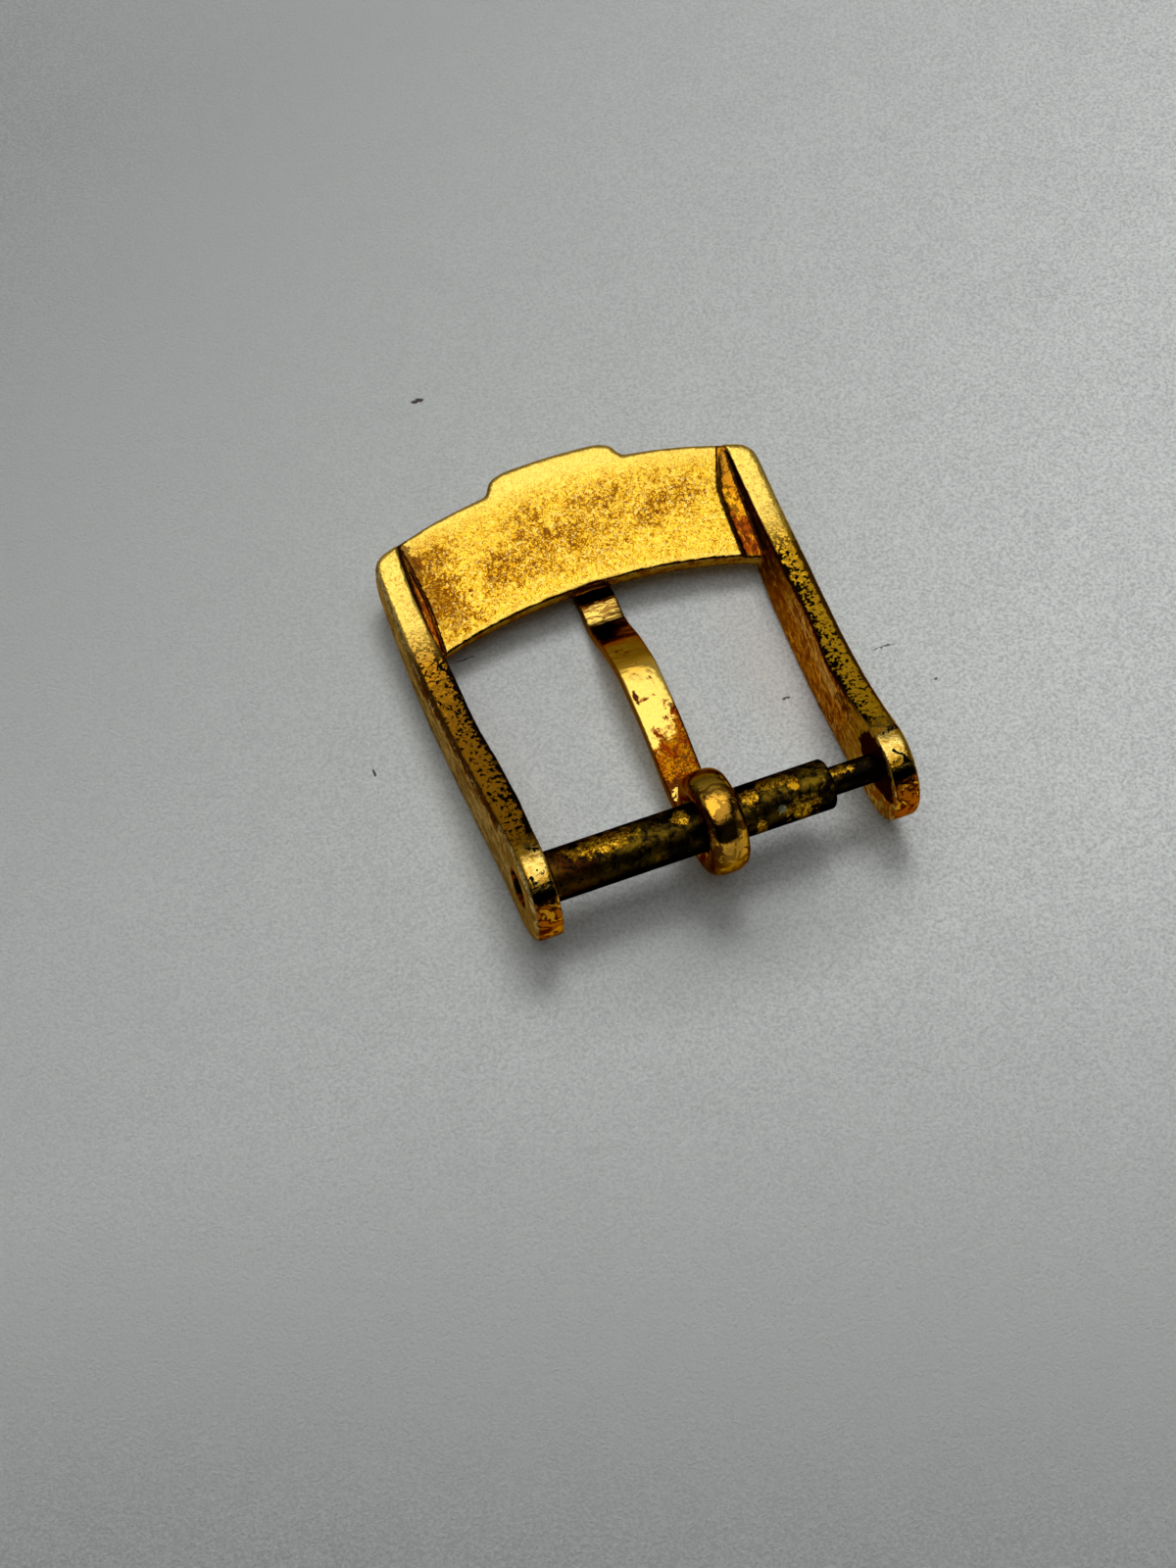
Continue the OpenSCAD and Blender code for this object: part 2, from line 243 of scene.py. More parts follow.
lines_x = columns + [0] + [-x for x in reversed(columns)]
last_x, last_row = len(lines_x) - 1, n_rows - 1
print("grid of %d by %d lines" % (len(lines_x), n_rows))

# %% Lines of the frame seen from above
left_line = [(-2, 6.0), (0.6, 6.0), (2.7, 5.92), (4.7, 5.98), (6.5, 6.12), (9.2, 6.17),
             (11.2, 6.37), (15, 6.36)]
right_line = [(-2, 6.0), (4.2, 6.0), (5.3, 6.2), (6.6, 6.34), (9, 6.36), (15, 6.36)]
left_groove = [(9, 5.97), (11.2, 5.89), (12.2, 5.92), (13.2, 6.06), (14.2, 6.22)]
right_groove = [(9, 5.55), (12.5, 5.52), (13.0, 5.62), (14.2, 6.05)]
outer_near_x, outer_swell = 6.99, 0.38
bow_in, bow_out = window_l - bow_r, window_l + plate_l + 0.06 - bow_r


def along(line, y):
    y = min(line[-1][0], max(line[0][0], y))
    i = max(k for k in range(len(line) - 1) if line[k][0] <= y)
    (y0, x0), (y1, x1) = line[i], line[i + 1]
    (ya, xa), (yb, xb) = line[max(i - 1, 0)], line[min(i + 2, len(line) - 1)]
    t, span, step = (y - y0) / (y1 - y0), y1 - y0, x1 - x0
    lean0, lean1 = (x1 - xa) / (y1 - ya) * span, (xb - x0) / (yb - y0) * span
    return (x0 + t * lean0 + t * t * (3 * step - 2 * lean0 - lean1)
            + t ** 3 * (lean0 + lean1 - 2 * step))


def inner_x(side, y):
    return along(right_line if side > 0 else left_line, y)


def groove_x(side, y):
    return along(right_groove if side > 0 else left_groove, y)


def outer_x(y):
    return outer_near_x + outer_swell * ease((y - 1.0) / 9.5)


def bow(centre, x):
    return centre + math.sqrt(bow_r ** 2 - x ** 2)


print("inner width at the bar %.2f mm" % (inner_x(1, 0) + inner_x(-1, 0)))

# %% Frame sheet
start()
bpy.ops.mesh.primitive_grid_add(x_subdivisions=last_x, y_subdivisions=last_row, size=2)
cast_frame = named("cast_frame")


def line_of(co):
    i = round((1 - co.x) / 2 * last_x)
    j = round((co.y + 1) / 2 * last_row)
    side = 1 if lines_x[i] >= 0 else -1
    return side, min(i, last_x - i), j


def grid_x(k):
    return 1 - k * 2 / last_x


def window_or_beside_tab(face):
    row, across = (face.center.y + 1) / 2 * last_row, abs(face.center.x)
    in_window = row < near_row and across < grid_x(arm_column)
    return in_window or (row > far_row and across > grid_x(tab_column))


edit(cast_frame, "FACE")
for face in cast_frame.data.polygons:
    face.select = window_or_beside_tab(face)
bpy.ops.object.mode_set(mode="EDIT")
bpy.ops.mesh.delete(type="FACE")
bpy.ops.mesh.select_all(action="SELECT")
bpy.ops.mesh.extrude_region_move(TRANSFORM_OT_translate={"value": (0, 0, 1)})
bpy.ops.object.mode_set(mode="OBJECT")
print("frame sheet has", len(cast_frame.data.polygons), "faces")

# %% Place of each point seen from above
corner_r = 0.85
corner = Vector((outer_x(13) - corner_r, 0))
corner.y = bow_out + math.sqrt((bow_r - corner_r) ** 2 - corner.x ** 2)
corner_far = Vector((corner.x, corner.y - bow_out)).normalized()
tab_corner = (tab_half - tab_r, bow(bow_out, tab_half) + tab_out - tab_r)
tab_flare = {far_row: 0.16, far_row + 1: 0.06}
x_way, y_way = Vector((1, 0)), Vector((0, 1))


def round_corner(x, y, centre, one, two):
    d = Vector((x, y)) - centre
    if d.x * one.y - d.y * one.x > 0 or d.x * two.y - d.y * two.x < 0 or d.length < 1e-6:
        return x, y
    d *= max(d.dot(one), d.dot(two)) / d.length
    return centre.x + d.x, centre.y + d.y


def row_y(x, j):
    if j < near_row:
        return (ear_rows + arm_rows)[j]
    if j <= far_row:
        return mix(bow(bow_in, x), bow(bow_out, x), plate_rows[j - near_row])
    return bow(bow_out, x) + tab_rows[j - far_row - 1]


def strip_x(side, y, k):
    foot, groove = inner_x(side, y) - 0.07, groove_x(side, y)
    return (foot, min(groove + 0.08, foot - 0.02), groove)[k - arm_column - 1]


def place_above(side, k, j):
    x = abs(lines_x[k])
    y = row_y(x, j)
    if k <= arm_column:
        t = (x - columns[arm_column]) / (columns[0] - columns[arm_column])
        return round_corner(mix(inner_x(side, y), outer_x(y), t), y, corner, x_way, corner_far)
    if k <= groove_column:
        x = strip_x(side, y, k)
        return x, row_y(x, j)
    if k == tab_column:
        x += tab_flare.get(j, 0)
    if j > far_row:
        return round_corner(x, y, Vector(tab_corner), x_way, y_way)
    return x, y


print("plate corner at x %.2f, y %.2f mm" % tuple(corner))

# %% Rounding of the outer rim
rim_r, ear_end_y = 0.24, 0.68


def to_rim(x, y, j):
    if j > far_row:
        past_x, past_y = x - tab_corner[0], y - tab_corner[1]
        if past_x > 0 and past_y > 0:
            return max(0, tab_r - math.hypot(past_x, past_y))
        return max(0, min(bow(bow_out, x) + tab_out - y, tab_half - x))
    if x > corner.x and y > corner.y:
        return corner_r - math.hypot(x - corner.x, y - corner.y)
    far = bow_r - math.hypot(x, y - bow_out) + (tab_out if x < tab_half else 0)
    return max(0, min(outer_x(y) - x, far))


def rim_fall(gap):
    return rim_r - math.sqrt(rim_r ** 2 - min(rim_r, max(0, rim_r - gap)) ** 2)


def rounded(side, x, y, z, fall):
    if y < ear_end_y:
        keep = 1 - fall / ear_r
        return from_bar(side * x, y * keep, -ear_drop + (z + ear_drop) * keep)
    return from_bar(side * x, y, z - fall)


print("rim radius %.2f mm" % rim_r)

# %% Height of each point
groove_drop, groove_end_y, groove_run = 0.1, 14.3, 1.5
under_rise, under_lean, under_run, under_power = 0.6, 0.02, 1.1, 1.3
wall_from_x, window_half, foot_swell = 5.3, 6.0, 0.08


def wall_foot(side, x, y, j):
    in_plate = min(1, max(0, (j - near_row) / 3))
    top_x = inner_x(side, y)
    low_x = mix(top_x, window_half + foot_swell * ease((y - 5) / 5), 1 - in_plate)
    return wall_from_x + (x - wall_from_x) * (low_x - wall_from_x) / (top_x - wall_from_x)


def wrist_side(side, x, y, k, fall):
    z = wrist_z(y)
    if k > arm_column:
        z = min(z, plate_z(y))
    if arm_column < k < groove_column:
        z -= groove_drop * ease((groove_end_y - y) / groove_run)
    return rounded(side, x, y, z, fall)


def frame_rule(co):
    side, k, j = line_of(co)
    x, y = place_above(side, k, j)
    fall = rim_fall(to_rim(x, y, j))
    if co.z > 0.5:
        return wrist_side(side, x, y, k, fall)
    z = face_z(y)
    if k > arm_column and j >= near_row:
        near_window = max(0, 1 - (y - bow(bow_in, x)) / under_run)
        z += (under_rise - under_lean * side * x) * near_window ** under_power
    if k >= arm_column and x > wall_from_x:
        x = wall_foot(side, x, y, j)
    if y < ear_end_y:
        return rounded(side, x, y, z, fall)
    return from_bar(side * x, y, z + fall)


shape(cast_frame, frame_rule)
face_out(cast_frame)
spans = [[point.co[axis] / mm for point in cast_frame.data.vertices] for axis in range(3)]
print("frame is %.2f by %.2f by %.2f mm" % tuple(max(span) - min(span) for span in spans))

# %% [markdown]
# Casting, polishing and years on a strap leave no sharp edge. The outer rims are rounded by
# the rule above, and the inner ones by a small bevel, on edges found by the angle between
# their faces and by their place. The holes for the bar's tips are cut next, each with a
# countersink on the outside.

# %% Inner edges of the frame
sharp = math.radians(50)


def soften(piece, wanted, width, segments):
    edit(piece, "EDGE")
    work = bmesh.new()
    work.from_mesh(piece.data)
    found = set()
    for edge in work.edges:
        if len(edge.link_faces) == 2 and edge.calc_face_angle() > sharp:
            middle = (edge.verts[0].co + edge.verts[1].co) / 2
            if wanted(Vector((abs(middle.x), middle.y - bar_y, middle.z - bar_z)) / mm):
                found.add(edge.index)
    work.free()
    for edge in piece.data.edges:
        edge.select = edge.index in found
    bpy.ops.object.mode_set(mode="EDIT")
    bpy.ops.mesh.bevel(offset=width * mm, segments=segments, affect="EDGES", clamp_overlap=True)
    bpy.ops.object.mode_set(mode="OBJECT")
    print(piece.name, "has", len(found), "bevelled edges")


def inner_rim(p):
    return p.x < 6.7 and p.y < 12.6 and (p.x > 6.25 or p.y < 11)


soften(cast_frame, inner_rim, 0.08, 2)

# %% Holes in the ears
hole_r, sink_in_r, sink_out_r, sink_depth = 0.44, 0.4, 0.78, 0.38
hole_x, sink_x = 6.5, 6.92
for side in (-1, 1):
    start()
    bpy.ops.mesh.primitive_cylinder_add(
        vertices=48, radius=hole_r * mm, depth=3 * mm,
        location=from_bar(side * hole_x, 0, 0), rotation=(0, math.pi / 2, 0))
    cut_with(cast_frame, named("drill"))
    start()
    bpy.ops.mesh.primitive_cone_add(
        vertices=48, radius1=sink_in_r * mm, radius2=sink_out_r * mm, depth=sink_depth * mm,
        location=from_bar(side * sink_x, 0, 0), rotation=(0, side * math.pi / 2, 0))
    cut_with(cast_frame, named("countersink"))
print("frame has", len(cast_frame.data.polygons), "faces after drilling")

# %% [markdown]
# A fine voxel skin closes the casting into one even surface, and a little smoothing melts
# what corners are left. Very shallow cloudy displacement then gives the hand-worn waviness
# that makes the reflections wander. A bump in the material would do so only from the front.

# %% Frame skin
def worn_skin(piece, voxel, rounds, wave, depth):
    finish_with(piece, "REMESH", mode="VOXEL", voxel_size=voxel * mm)
    finish_with(piece, "SMOOTH", factor=0.5, iterations=rounds)
    cloud = bpy.data.textures.new(piece.name + "_waves", "CLOUDS")
    cloud.noise_scale = wave * mm
    finish_with(piece, "DISPLACE", texture=cloud, texture_coords="LOCAL",
                strength=depth * mm, mid_level=0.5)
    take(piece)
    bpy.ops.object.shade_smooth()
    print(piece.name, "skin:", len(piece.data.polygons), "faces")


worn_skin(cast_frame, voxel=0.075, rounds=3, wave=1.1, depth=0.02)
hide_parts("buckle_frame")
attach(cast_frame, "frame")

# %% [markdown]
# The tongue is a strip that leaves the loop low, rises to a crest, and drops in a joggle so
# that its tip passes under the plate. The strip is a long thin grid, extruded and lifted
# onto that line. The loop is a plump oval section spun about the bar. A voxel skin then
# makes one piece of the two, as brazing and polishing do on the real one.

# %% Line of the tongue
tongue_w, tongue_t, tongue_x = 1.42, 0.58, 0.07
root_y, tip_y, tip_half, tip_round = 0.9, 14.0, 0.42, 0.4
loop_in_r, loop_wall = tube_r + 0.05, 0.9
loop_r = loop_in_r + loop_wall
root_z, under_plate_y, under_gap = -loop_in_r - 0.25, window_l + 0.3, 0.03
tongue_line = [(0.5, root_z), (2.0, root_z), (2.6, -1.17), (3.7, -0.9), (4.6, -0.74),
               (5.4, -0.68), (6.3, -0.66), (6.9, -0.68), (7.2, -0.74), (7.5, -0.86),
               (8.5, -1.31), (9.2, -1.77), (9.7, -1.99), (10.2, -2.02), (10.7, -1.99),
               (under_plate_y, -2.13)]


def tongue_top(y):
    return along(tongue_line, y) if y < under_plate_y else face_z(y) - under_gap


def tongue_half(y):
    taper = ((y - window_l) / (tip_y - window_l)) ** 1.5 if y > window_l else 0
    past = max(0, (y - tip_y + tip_round) / 0.42)
    return mix(tongue_w / 2, tip_half, taper) * math.sqrt(max(0.04, 1 - past ** 2))


print("loop radius %.2f mm" % loop_r)

# %% Tongue strip
start()
bpy.ops.mesh.primitive_grid_add(x_subdivisions=6, y_subdivisions=90, size=2)
bent_tongue = named("bent_tongue")
edit_all(bent_tongue)
bpy.ops.mesh.extrude_region_move(TRANSFORM_OT_translate={"value": (0, 0, 1)})
root_depth = loop_r + root_z - tongue_t - 0.06
crowning = 0.03


def strip_rule(co):
    y = mix(root_y, tip_y, (co.y + 1) / 2)
    on_top = co.z > 0.5
    low = tongue_t + root_depth * (1 - ease((y - 0.6) / 2.6))
    z = tongue_top(y) - (0 if on_top else low)
    z -= crowning * abs(co.x) ** 3 * (1 if on_top else -1)
    return from_bar(tongue_x + co.x * tongue_half(y), y, z)


shape(bent_tongue, strip_rule)
face_out(bent_tongue)
soften(bent_tongue, lambda p: True, 0.1, 3)

# %% Tongue loop
start()
bpy.ops.mesh.primitive_circle_add(vertices=28, radius=1, fill_type="NOTHING")
loop = named("tongue_loop")
plumpness = 2 / 2.5


def section_rule(co):
    across = math.copysign(abs(co.x) ** plumpness, co.x) * tongue_w / 2
    outward = math.copysign(abs(co.y) ** plumpness, co.y) * loop_wall / 2
    return from_bar(tongue_x + across, loop_in_r + loop_wall / 2 + outward, 0)


shape(loop, section_rule)
edit_all(loop)
bpy.ops.mesh.spin(steps=72, angle=2 * math.pi, center=from_bar(0, 0, 0), axis=(1, 0, 0))
face_out(loop)
take(bent_tongue)
loop.select_set(True)
bpy.ops.object.join()
worn_skin(bent_tongue, voxel=0.045, rounds=6, wave=0.9, depth=0.012)
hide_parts("tongue")
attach(bent_tongue, "tongue")

# %% [markdown]
# Old plating is one story told in layers: bright gold, a warm brown film, fine grain, dark
# specks, and black tarnish where the strap kept it damp. Each layer is a mask made from
# noise and from the place on the piece. To keep such sums readable, a small class wraps a
# socket, so that masks add and multiply like numbers.

# %% A socket that does sums
vein_edge = 0.015


class Layer:
    def __init__(self, tree, socket):
        self.tree, self.socket = tree, socket

    def maths(self, how, *values, clamp=False):
        node = self.tree.nodes.new("ShaderNodeMath")
        node.operation = how
        node.use_clamp = clamp
        for slot, value in zip(node.inputs, values):
            if isinstance(value, Layer):
                self.tree.links.new(value.socket, slot)
            else:
                slot.default_value = value
        return Layer(self.tree, node.outputs[0])

    def __add__(self, other):
        return self.maths("ADD", self, other)

    def __radd__(self, other):
        return self.maths("ADD", other, self)

    def __sub__(self, other):
        return self.maths("SUBTRACT", self, other)

    def __rsub__(self, other):
        return self.maths("SUBTRACT", other, self)

    def __mul__(self, other):
        return self.maths("MULTIPLY", self, other)

    def __rmul__(self, other):
        return self.maths("MULTIPLY", other, self)

    def __truediv__(self, other):
        return self.maths("DIVIDE", self, other)

    def __pow__(self, other):
        return self.maths("POWER", self, other)

    def __neg__(self):
        return self.maths("MULTIPLY", self, -1.0)

    def size(self):
        return self.maths("ABSOLUTE", self)

    def held(self):
        return self.maths("ADD", self, 0.0, clamp=True)

    def above(self, other):
        return self.maths("MAXIMUM", self, other)

    def rises(self, low, high):
        return ((self - low) / (high - low)).held()

    def falls(self, low, high):
        return self.rises(high, low)

    def sway(self, reach):
        return (self - 0.5) * reach

    def veins(self, thick):
        return (thick - (self - 0.5).size()).rises(-vein_edge, vein_edge)


print("masks can be added and multiplied")

# %% [markdown]
# The helpers below read as follows. `rises` and `falls` are soft steps along a measure,
# `sway` lets a noise push a border to and fro, and `veins` keeps the thin curled lines where
# a noise crosses its middle value. The next class makes every other node, and a `Finish` is
# a material with the place on the piece, in millimetres from the bar, ready to hand.

# %% A maker of nodes
factor_in, under_in, over_in, colour_out = 0, 6, 7, 2


class Nodes:
    def __init__(self, tree):
        self.tree = tree

    def add(self, kind, settings, values, out=0):
        node = self.tree.nodes.new(kind)
        for key, value in settings.items():
            if key == "stops":
                ramp = node.color_ramp
                while len(ramp.elements) < len(value):
                    ramp.elements.new(0.5)
                for stop, (at, level) in zip(ramp.elements, value):
                    stop.position = at
                    stop.color = (level, level, level, 1)
            else:
                setattr(node, key, value)
        self.feed(node, values)
        return Layer(self.tree, node.outputs[out])

    def feed(self, node, values):
        for key, value in values.items():
            if isinstance(value, Layer):
                self.tree.links.new(value.socket, node.inputs[key])
            else:
                node.inputs[key].default_value = value

    def parts(self, vector):
        return [self.add("ShaderNodeSeparateXYZ", {}, {"Vector": vector}, axis)
                for axis in ("X", "Y", "Z")]

    def ramp(self, value, stops):
        return self.add("ShaderNodeValToRGB", {"stops": stops}, {"Fac": value})


print("nodes can be made")

# %% A finish for a piece
class Finish(Nodes):
    def __init__(self, name):
        self.material = bpy.data.materials.new(name)
        self.material.use_nodes = True
        super().__init__(self.material.node_tree)
        self.surface = self.tree.nodes["Principled BSDF"]
        self.place = self.add("ShaderNodeMapping", {}, {
            "Vector": self.add("ShaderNodeTexCoord", {}, {}, "Object"),
            "Scale": (1 / mm, 1 / mm, 1 / mm), "Location": (0, -bar_y / mm, -bar_z / mm)})
        self.x, self.y, self.z = self.parts(self.place)
        facing = self.add("ShaderNodeTexCoord", {}, {}, "Normal")
        self.nx, self.ny, self.nz = self.parts(facing)

    def cloud(self, per_mm, detail=3.0, rough=0.5, stretch=(1, 1, 1), shift=(0, 0, 0), bend=0.0):
        where = self.add("ShaderNodeMapping", {}, {
            "Vector": self.place, "Scale": stretch, "Location": shift})
        return self.add("ShaderNodeTexNoise", {"noise_dimensions": "3D"}, {
            "Vector": where, "Scale": per_mm, "Detail": detail, "Roughness": rough,
            "Distortion": bend})

    def curve(self, value, table):
        first, last = table[0][0], table[-1][0]
        low, high = min(x for at, x in table), max(x for at, x in table)
        stops = [((at - first) / (last - first), (x - low) / (high - low)) for at, x in table]
        return self.ramp((value - first) / (last - first), stops) * (high - low) + low

    def blot(self, u, v, at, size, ragged=0.0, edge=0.3):
        du, dv = (u - at[0]) / size[0], (v - at[1]) / size[1]
        return (1 - (du * du + dv * dv) ** 0.5 + ragged).rises(0, edge)

    def blots(self, u, v, places, ragged=0.0, edge=0.3):
        marks = self.blot(u, v, *places[0], ragged, edge)
        for at, size in places[1:]:
            marks = marks.above(self.blot(u, v, at, size, ragged, edge))
        return marks

    def blend(self, under, over, mask):
        under, over = (colour if isinstance(colour, Layer) else (*colour, 1.0)
                       for colour in (under, over))
        return self.add("ShaderNodeMix", {"data_type": "RGBA"}, {
            under_in: under, over_in: over, factor_in: mask}, colour_out)

    def painted(self, under, *coats):
        for colour, mask in coats:
            under = self.blend(under, colour, mask)
        return under

    def wear(self, **sockets):
        self.feed(self.surface, {key.replace("_", " "): value for key, value in sockets.items()})

    def relief(self, height, strength, depth):
        bump = self.add("ShaderNodeBump", {}, {
            "Height": height, "Strength": strength, "Distance": depth * mm})
        self.feed(self.surface, {"Normal": bump})


def dress(piece, finish):
    piece.data.materials.clear()
    piece.data.materials.append(finish.material)
    print(piece.name, "wears", finish.material.name)


# %% Colours shared by the finishes
cream_gold = (0.98, 0.67, 0.12)
warm_gold = (0.84, 0.42, 0.012)
worm_gold = (0.34, 0.125, 0.003)
brown_gold = (0.16, 0.042, 0.001)
painted_reflection_olive = (0.40, 0.26, 0.025)
rust = (0.30, 0.055, 0.003)
dark_rust = (0.06, 0.012, 0.002)
soot = (0.006, 0.004, 0.002)
grazing_gold = (0.75, 0.42, 0.08, 1)
print("eight shared colours and one for grazing light")

# %% [markdown]
# The frame wears its age differently on each face. The plate is bright with a worm-like
# grain and brown clouds in the middle, the strips beside it are rust red, the arms are
# bright at the far end and peppered black towards the bar, and the walls are streaked.
# Painting a picture of this onto the mesh would work for one view only. Masks built from
# the same lines that shaped the frame keep each look on its own face from every side.

# %% Places on the frame
coat = Finish("aged_gold_frame")
on_right = coat.x.rises(-0.01, 0.01)
on_left = 1 - on_right
across = coat.x.size()
outer_line = [(0, 6.97), (4, 7.06), (8, 7.24), (11, 7.33), (15, 7.33)]
wall_middle = 6.7


def from_line(on_right_side, on_left_side):
    line = (coat.curve(coat.y, on_right_side) * on_right
            + coat.curve(coat.y, on_left_side) * on_left)
    return across - line


from_inner = from_line(right_line, left_line)
from_groove = from_line(right_groove, left_groove)
from_outer = coat.curve(coat.y, outer_line) - across
bowed = coat.y + coat.x * coat.x / (2 * bow_r)
past_in, past_out = bowed - window_l, window_l + plate_l - bowed
top_heights = [(y, wrist_z(y)) for y in (0.7, 1.5, 2.5, 4, 6, 8, 10, 12, 15)]
below_top = coat.curve(coat.y, top_heights) - coat.z
from_hole = (coat.y * coat.y + coat.z * coat.z) ** 0.5
print("distances on the frame mapped")

# %% Faces of the frame
up_face = coat.nz.rises(0.35, 0.6)
side_face = coat.nx.size().rises(0.55, 0.7)
beyond = past_in.rises(-0.06, 0.02)
plate = up_face * beyond * from_groove.falls(-0.03, 0.03)
strips = up_face * beyond * from_groove.rises(-0.03, 0.03) * from_inner.falls(-0.04, 0.02)
arm_tops = from_inner.rises(-0.06, 0.02)
inner_walls = (side_face * across.falls(wall_middle - 0.05, wall_middle)
               * past_out.rises(0.1, 0.3))
outer_walls = side_face * across.rises(wall_middle, wall_middle + 0.05)
window_wall = (-coat.ny).rises(0.3, 0.6) * across.falls(6.5, 6.6) * coat.y.rises(8.5, 9)
print("faces of the frame masked")

# %% Noises of the frame
worms = coat.cloud(5.5, 2.0, 0.6, bend=0.8)
pepper = coat.cloud(5.0, 2.0, 0.55, shift=(7, 3, 1), bend=0.4)
grit = coat.cloud(7.5, 2.0, 0.6, shift=(4, 8, 2), bend=0.3)
broad = coat.cloud(0.55, 3.0, 0.6, shift=(2.2, 0.4, 0))
streaks = coat.cloud(1.0, 4.0, 0.65, stretch=(3, 0.7, 3.2), bend=0.9)
marble = coat.cloud(1.3, 3.0, 0.55, shift=(3, 1, 0), bend=2.0)
shred = coat.cloud(3.0, 5.0, 0.75, shift=(9, 2, 4), bend=0.4)
grain = coat.cloud(2.4, 4.0, 0.7, stretch=(2, 0.6, 1.9), shift=(4, 1, 6), bend=1.0)
print("eight noises from fine grit to broad clouds")

# %% Spots on the plate
left_cloud = ((-5.2, 12.3), (1.5, 2.1))
brown_clouds = [((-0.2, 12.9), (3.0, 1.5)), ((3.4, 12.7), (1.9, 1.1)),
                ((-3.2, 12.2), (1.9, 1.0)), ((0.8, 13.6), (2.4, 0.9))]
large_speck = ((-1.0, 13.07), (0.12, 0.2))
specks = [((-2.87, 12.66), (0.13, 0.11)), ((1.63, 11.97), (0.11, 0.13)),
          ((3.09, 12.52), (0.10, 0.12)), ((-5.75, 13.45), (0.12, 0.25)),
          ((-4.35, 11.9), (0.08, 0.12))]
clouded = broad.sway(2.4) + shred.sway(3.0)
brown_spots = coat.blot(coat.x, coat.y, *left_cloud, clouded, 0.6)
brown_spots = brown_spots.above(coat.blots(coat.x, coat.y, brown_clouds, clouded, 0.9))
dark_spots = coat.blot(coat.x, coat.y, *large_speck, pepper.sway(3))
dark_spots = dark_spots.above(coat.blots(coat.x, coat.y, specks, pepper.sway(4)))
# painted shade on the plate beside the left strip
painted_strip_shade = coat.blot(coat.x, coat.y, (-5.6, 12.0), (0.9, 2.4), pepper.sway(2) + broad.sway(1), 0.7)
print(len(brown_clouds) + 1, "brown clouds and", len(specks) + 1, "dark specks")

# %% Plate
plate_gold, fleck_gold, thread_gold = (1.0, 0.65, 0.055), (1.0, 0.76, 0.22), (0.72, 0.36, 0.012)
speck_brown = (0.15, 0.035, 0.002)
calm = past_out.rises(0.1, 0.9) * past_in.rises(0.05, 0.35)
stained = (brown_spots * calm).held()
tone = coat.painted(
    cream_gold,
    (plate_gold, calm),
    (warm_gold, stained * 0.80 + shred.rises(0.45, 0.62) * 0.45 * calm),
    (thread_gold, pepper.veins(0.035) * (0.25 + 0.45 * calm)),
    (worm_gold, worms.veins(0.030 + stained * 0.02) * (0.4 + 0.55 * calm + 0.05 * stained)),
    (fleck_gold, grit.rises(0.57, 0.61) * calm * (0.35 + stained * 0.3)),
    (brown_gold, pepper.veins(stained * 0.06 - 0.006) * (stained * 1.2).held() * 0.85),
    # painted shade beside the left strip
    (brown_gold, painted_strip_shade * calm * 0.55),
    (speck_brown, dark_spots * 0.9))
print("plate painted")

# %% Strips and rim of the plate
orange_gold, painted_rim_reflection, corner_shade_brown = (0.95, 0.42, 0.01), (0.22, 0.09, 0.005), (0.09, 0.025, 0.002)
strip_tone = coat.painted(
    dark_rust,
    (rust, streaks.rises(0.40, 0.58) + on_right * 0.5),
    (warm_gold, streaks.rises(0.52, 0.64) * (0.45 + on_right * 0.5)),
    (orange_gold, on_right * coat.y.rises(11.6, 12.6) * 0.5),
    (dark_rust, pepper.rises(0.50, 0.56) * 0.75),
    (dark_rust, on_left * coat.y.rises(12.2, 13.0) * 0.85))
# the rounded rim of the plate is painted brown as a dark reflection
rim = (coat.nz.falls(0.7, 0.92) * coat.nz.rises(-0.1, 0.2)
       * past_out.falls(0.25, 0.45) * beyond)
# painted shade in the far left corner of the plate, beside the strip
painted_corner_shade = (0.28 + from_groove + pepper.sway(0.6)).rises(0, 0.08) * on_left * plate
tone = coat.painted(
    tone,
    (strip_tone, strips),
    (painted_rim_reflection, rim * (0.9 - shred.rises(0.4, 0.6) * 0.4)),
    (corner_shade_brown, painted_corner_shade * coat.y.rises(12.6, 13.2) * 0.85))
print("strips and rim painted")

# %% [markdown]
# The arms were rubbed bright beside the plate and blackened towards the bar. Near the bar
# the black lies in short dashes that crowd at the inner edge, with a thin brown line along
# the outer one. The crown of each ear mirrors the sky, so it gets a painted highlight of pale
# gold sparks, and the band in front of it is painted black as a dark reflection.

# %% Arm tops
left_arm_gold, right_arm_gold = (0.53, 0.215, 0.004), (0.95, 0.50, 0.012)
crown_gold, highlight_gold, arm_edge = (0.55, 0.26, 0.007), (1.0, 0.74, 0.19), (0.07, 0.03, 0.003)
worn = coat.y.falls(9.2, 11.0)
dull = worn * coat.y.rises(0.4, 0.9)
crowd = from_inner.falls(0.0, 0.6) * (1.3 - on_right * 0.2) + broad.sway(1.5)
dashes = (grit * 0.65 + pepper * 0.35 + crowd * 0.06 - 0.542).rises(0, 0.02) * dull
border_w = (0.18 - 0.08 * on_right) * dull + coat.y.falls(0.8, 2.4) * 0.16
border = (border_w - from_inner + shred.sway(0.9)).rises(0, 0.05) * dull
outer_edge = (0.15 + on_right * 0.09 - from_outer + pepper.sway(0.25)).rises(0, 0.05)
# band in front of each ear's crown, painted black as a dark reflection
painted_dark_band = coat.y.falls(-1.05, -0.85)
crown = coat.y.falls(0.5, 1.2) * (1 - painted_dark_band)
from_crown = (coat.y + 0.1).size()
